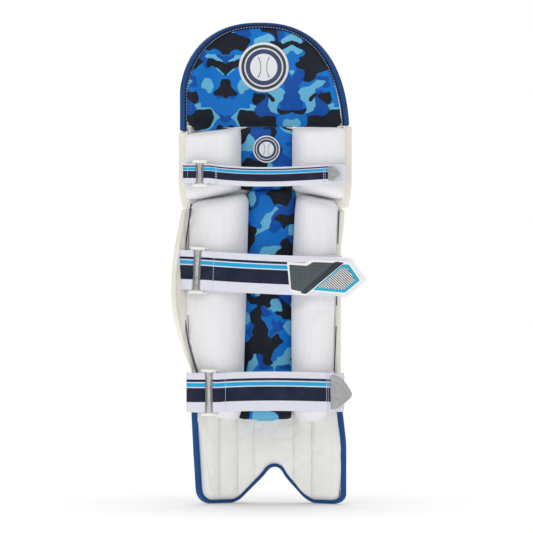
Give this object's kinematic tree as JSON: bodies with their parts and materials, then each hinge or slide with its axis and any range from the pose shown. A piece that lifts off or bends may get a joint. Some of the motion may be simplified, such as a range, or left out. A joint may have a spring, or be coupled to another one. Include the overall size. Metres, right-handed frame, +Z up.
{
  "type": "cricket leg pad",
  "caption": "Batting leg guard with a foam and cane shin shell, knee rolls, top hat, calf wing, inner bolsters and strap fastenings.",
  "frame": {"origin": "centre of the bounding box in X and Y, at the level the toes stand on", "axes": "+Z up from the toes to the top hat; +Y out of the struck face; -Y towards the leg; +X to the right seen from the leg side"},
  "size_m": [0.2817, 0.134, 0.71],
  "materials": {
    "roll_facing": "white coated facing over foam",
    "cane": "split cane",
    "lining_white": "smooth white coated lining",
    "binding_blue": "shiny blue woven binding",
    "edge_cream": "cream coated leather cloth",
    "backing": "stiff fibre board",
    "mesh_white": "white spacer mesh over foam",
    "camo_print": "blue camouflage print fabric",
    "badge_rubber": "moulded badge",
    "foam": "open foam",
    "webbing_white": "white webbing",
    "strap_stripe": "navy, white and cyan striped webbing",
    "hook_loop": "hook and loop tape",
    "slide_nylon": "white nylon",
    "bar_steel": "steel",
    "tip_grey": "grey moulded rubber",
    "badge_tip": "charcoal moulded badge with cyan and white edge"
  },
  "bodies": {
    "shin_guard": {"shin_roll_1": "roll_facing", "shin_roll_2": "roll_facing", "shin_roll_3": "roll_facing", "shin_roll_4": "roll_facing", "shin_roll_5": "roll_facing", "shin_roll_6": "roll_facing", "shin_roll_7": "roll_facing", "cane_rods": "cane", "shin_lining": "lining_white", "instep_binding": "binding_blue", "shin_side_edges": "edge_cream", "knee_roll_lower": "roll_facing", "knee_roll_middle": "roll_facing", "knee_roll_upper": "roll_facing", "knee_backing": "backing", "knee_side_edges": "edge_cream", "knee_pad_left": "mesh_white", "knee_pad_right": "mesh_white", "knee_bolster": "camo_print", "knee_badge": "badge_rubber", "calf_bolster_left": "mesh_white", "calf_bolster_right": "mesh_white", "centre_bolster": "camo_print", "knee_anchor": "strap_stripe", "ankle_anchor": "strap_stripe", "knee_underpad": "webbing_white", "calf_underpad": "webbing_white", "ankle_underpad": "webbing_white", "knee_counter_strap": "hook_loop", "calf_counter_strap": "hook_loop", "ankle_counter_strap": "hook_loop"},
    "top_hat": {"top_hat_roll_1": "roll_facing", "top_hat_roll_2": "roll_facing", "top_hat_roll_3": "roll_facing", "top_hat_backing": "backing", "top_hat_lining": "camo_print", "top_hat_binding": "binding_blue", "top_hat_badge": "badge_rubber"},
    "calf_wing": {"wing_facing": "roll_facing", "wing_foam": "foam", "wing_lining": "edge_cream", "wing_binding": "edge_cream", "calf_anchor": "strap_stripe"},
    "knee_slide": {"knee_slide": "slide_nylon", "knee_slide_bar": "bar_steel"},
    "knee_strap": {"knee_strap": "strap_stripe", "knee_hook_patch": "hook_loop", "knee_tip": "tip_grey"},
    "calf_slide": {"calf_slide": "slide_nylon", "calf_slide_bar": "bar_steel"},
    "calf_strap": {"calf_strap": "strap_stripe", "calf_hook_patch": "hook_loop", "calf_tip": "badge_tip"},
    "ankle_slide": {"ankle_slide": "slide_nylon", "ankle_slide_bar": "bar_steel"},
    "ankle_strap": {"ankle_strap": "strap_stripe", "ankle_hook_patch": "hook_loop", "ankle_tip": "tip_grey"}
  },
  "joints": [
    {"name": "knee_flex", "type": "hinge", "parent": "shin_guard", "child": "top_hat", "pos_m": [0, -0.027, 0.555], "axis": [1, 0, 0], "range_deg": [0, 12], "stiffness_Nm_per_rad": 2},
    {"name": "wing_flex", "type": "hinge", "parent": "shin_guard", "child": "calf_wing", "pos_m": [-0.1126, 0.0088, 0.316], "axis": [0, 0, -1], "range_deg": [0, 15], "stiffness_Nm_per_rad": 1.5},
    {"name": "knee_slide_turn", "type": "hinge", "parent": "shin_guard", "child": "knee_slide", "pos_m": [-0.106, -0.052, 0.484], "axis": [0, 0, -1], "range_deg": [0, 55]},
    {"name": "knee_strap_swing", "type": "hinge", "parent": "knee_slide", "child": "knee_strap", "pos_m": [-0.088, -0.052, 0.484], "axis": [0, 0, -1], "range_deg": [0, 95]},
    {"name": "calf_slide_turn", "type": "hinge", "parent": "calf_wing", "child": "calf_slide", "pos_m": [-0.11, -0.052, 0.344], "axis": [-0.0436, 0, -0.999], "range_deg": [0, 55]},
    {"name": "calf_strap_swing", "type": "hinge", "parent": "calf_slide", "child": "calf_strap", "pos_m": [-0.09202, -0.052, 0.34321], "axis": [-0.0436, 0, -0.999], "range_deg": [0, 95]},
    {"name": "ankle_slide_turn", "type": "hinge", "parent": "shin_guard", "child": "ankle_slide", "pos_m": [-0.0925, -0.052, 0.166], "axis": [0, 0, -1], "range_deg": [0, 55]},
    {"name": "ankle_strap_swing", "type": "hinge", "parent": "ankle_slide", "child": "ankle_strap", "pos_m": [-0.0745, -0.052, 0.166], "axis": [0, 0, -1], "range_deg": [0, 95]}
  ]
}
